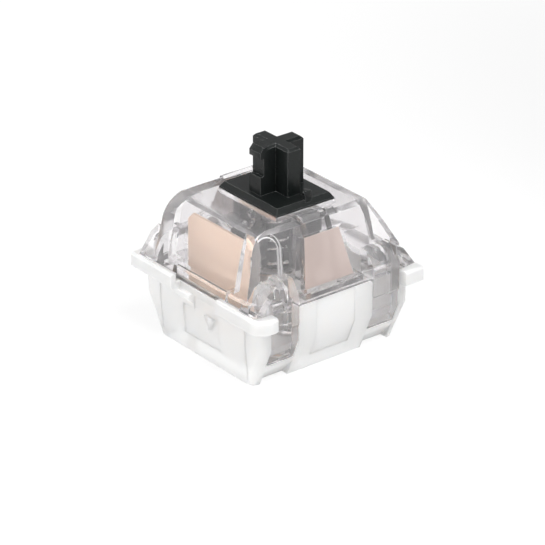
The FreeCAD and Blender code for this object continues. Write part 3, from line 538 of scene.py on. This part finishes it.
def ring_of_corners(x, y, radius):
    """Corners round a hole in the floor."""
    turns = [2 * math.pi * i / HOLE_SIDES for i in range(HOLE_SIDES)]
    return [(x + radius * math.cos(turn), y + radius * math.sin(turn)) for turn in turns]


def board_floor():
    """White floor at the board's face, with the holes for the post and the tails."""
    half = FLOOR_SIDE / 2
    loops = [[(half, half), (-half, half), (-half, -half), (half, -half)]]
    loops.append(ring_of_corners(0, 0, POST_HOLE_R))
    loops += [ring_of_corners(x, y, TAIL_HOLE_R) for x, y in TAIL_HOLES]
    mesh = bmesh.new()
    edges = []
    for loop in loops:
        corners = [mesh.verts.new((x, y, 0)) for x, y in loop]
        edges += [mesh.edges.new((corners[i - 1], corners[i])) for i in range(len(corners))]
    bmesh.ops.triangle_fill(mesh, use_beauty=True, use_dissolve=False, edges=edges, normal=(0, 0, 1))
    floor = object_from(mesh, "floor")
    material = plain_material("floor_white", FLOOR_GREY, 0.8)
    nodes = material.node_tree.nodes
    white_behind(
        material.node_tree,
        nodes["Principled BSDF"].outputs["BSDF"],
        FLOOR_WHITE_SHARE,
        nodes["Material Output"].inputs["Surface"],
    )
    assign(floor, material)


def white_world():
    """White studio, brightest overhead."""
    world = bpy.data.worlds.new("studio")
    bpy.context.scene.world = world
    world.use_nodes = True
    tree = world.node_tree
    background = tree.nodes["Background"]
    place = tree.nodes.new("ShaderNodeTexCoord")
    split = tree.nodes.new("ShaderNodeSeparateXYZ")
    spread = tree.nodes.new("ShaderNodeMapRange")
    spread.inputs["From Min"].default_value = 0.0
    spread.inputs["From Max"].default_value = OVERHEAD_FROM
    tree.links.new(place.outputs["Generated"], split.inputs["Vector"])
    tree.links.new(split.outputs["Z"], spread.inputs["Value"])
    colour_between(tree, spread.outputs["Result"], HORIZON, OVERHEAD, background.inputs["Color"])
    background.inputs["Strength"].default_value = 1.0
    white_behind(tree, background.outputs["Background"], 1.0, tree.nodes["World Output"].inputs["Surface"])


def area_lamp(name, place, size, power):
    """Soft lamp aimed at the switch."""
    lamp = bpy.data.lights.new(name, "AREA")
    lamp.shape = "RECTANGLE"
    lamp.size, lamp.size_y = size
    lamp.energy = power
    holder = bpy.data.objects.new(name, lamp)
    holder.location = place
    holder.rotation_euler = (Vector(place) - CAMERA_TARGET).to_track_quat("Z", "Y").to_euler()
    bpy.context.scene.collection.objects.link(holder)


def dark_card(name, start, end, heights):
    """Black card just outside the picture, which draws dark edges on clear and glossy faces."""
    right = Vector((math.cos(CAMERA_AZIMUTH), math.sin(CAMERA_AZIMUTH), 0))
    behind = Vector((-math.sin(CAMERA_AZIMUTH), math.cos(CAMERA_AZIMUTH), 0))
    mesh = bmesh.new()
    corners = []
    for height, ends in zip(heights, ((start, end), (end, start))):
        for to_right, to_back in ends:
            spot = right * to_right + behind * to_back + Vector((0, 0, height))
            corners.append(mesh.verts.new(spot))
    mesh.faces.new(corners)
    card = object_from(mesh, name)
    assign(card, plain_material(name, 0.01, 0.9))
    card.visible_camera = False


def photo_camera():
    """The photograph's camera."""
    flat = math.cos(CAMERA_ELEVATION)
    back_x = math.sin(CAMERA_AZIMUTH) * flat
    back_y = -math.cos(CAMERA_AZIMUTH) * flat
    back = Vector((back_x, back_y, math.sin(CAMERA_ELEVATION)))
    lens = bpy.data.cameras.new("camera")
    lens.sensor_width = SENSOR_MM
    lens.lens = CAMERA_FOCAL_PX * SENSOR_MM / PHOTO_SIDE_PX
    lens.shift_x = -TARGET_OFFSET_PX[0] / PHOTO_SIDE_PX
    lens.shift_y = TARGET_OFFSET_PX[1] / PHOTO_SIDE_PX
    lens.clip_start, lens.clip_end = CAMERA_CLIP
    camera = bpy.data.objects.new("camera", lens)
    camera.location = CAMERA_TARGET + back * CAMERA_DISTANCE
    camera.rotation_euler = back.to_track_quat("Z", "Y").to_euler()
    bpy.context.scene.collection.objects.link(camera)
    bpy.context.scene.camera = camera


def light_paths(cycles):
    """Denoising, and enough bounces to see through the cover's walls and back."""
    cycles.use_denoising = True
    cycles.max_bounces = 24
    cycles.transmission_bounces = 20
    cycles.glossy_bounces = 8
    cycles.transparent_max_bounces = 16


bpy.context.scene.view_settings.view_transform = "Standard"
light_paths(bpy.context.scene.cycles)
photo_camera()
white_world()
board_floor()
area_lamp("key", *KEY_LAMP)
area_lamp("left", *LEFT_LAMP)
dark_card("card_right", *RIGHT_CARD)
dark_card("card_back", *BACK_CARD)

clear = clear_polycarbonate()
milky = milky_nylon()
black = black_acetal()
copper = rolled_metal("copper_alloy", (0.97, 0.75, 0.58), (0.94, 0.70, 0.53), 0.32, 0.6)
steel = rolled_metal("spring_steel", (0.74, 0.73, 0.72), (0.60, 0.59, 0.58), 0.25)
gold = rolled_metal("contact_gold", (0.98, 0.80, 0.45), (0.90, 0.68, 0.34), 0.22)

# Painted highlights: paler colours on the rounded edges, standing in for the light that they catch
clear_edge_highlight = painted_highlight_edge("clear_edge_highlight", (0.95, 0.945, 0.95), (0.99, 0.988, 0.99), 0.12, 0.3)
milky_edge_highlight = painted_highlight_edge("milky_edge_highlight", (0.90, 0.90, 0.89), (0.94, 0.94, 0.93), 0.3)
black_edge_highlight = painted_highlight_edge("black_edge_highlight", (0.46, 0.470, 0.466), (0.60, 0.610, 0.606), 0.25)

cover = softened("top_housing", "cover_shell", "housing",
                 clear, clear_edge_highlight, COVER_EDGE, shape_cover)
frost_bays(cover, frosted_copper_glow())
softened("bottom_housing", "base_shell", "housing", milky, milky_edge_highlight, BASE_EDGE, shape_base)
softened("stem", "stem_moulding", "stem", black, black_edge_highlight, STEM_EDGE)
return_spring(steel)
for name in ("fixed_terminal", "moving_terminal", "contact_leaf"):
    assign(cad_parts[name], copper)
for name in ("fixed_crosspoint", "moving_crosspoint"):
    assign(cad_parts[name], gold)
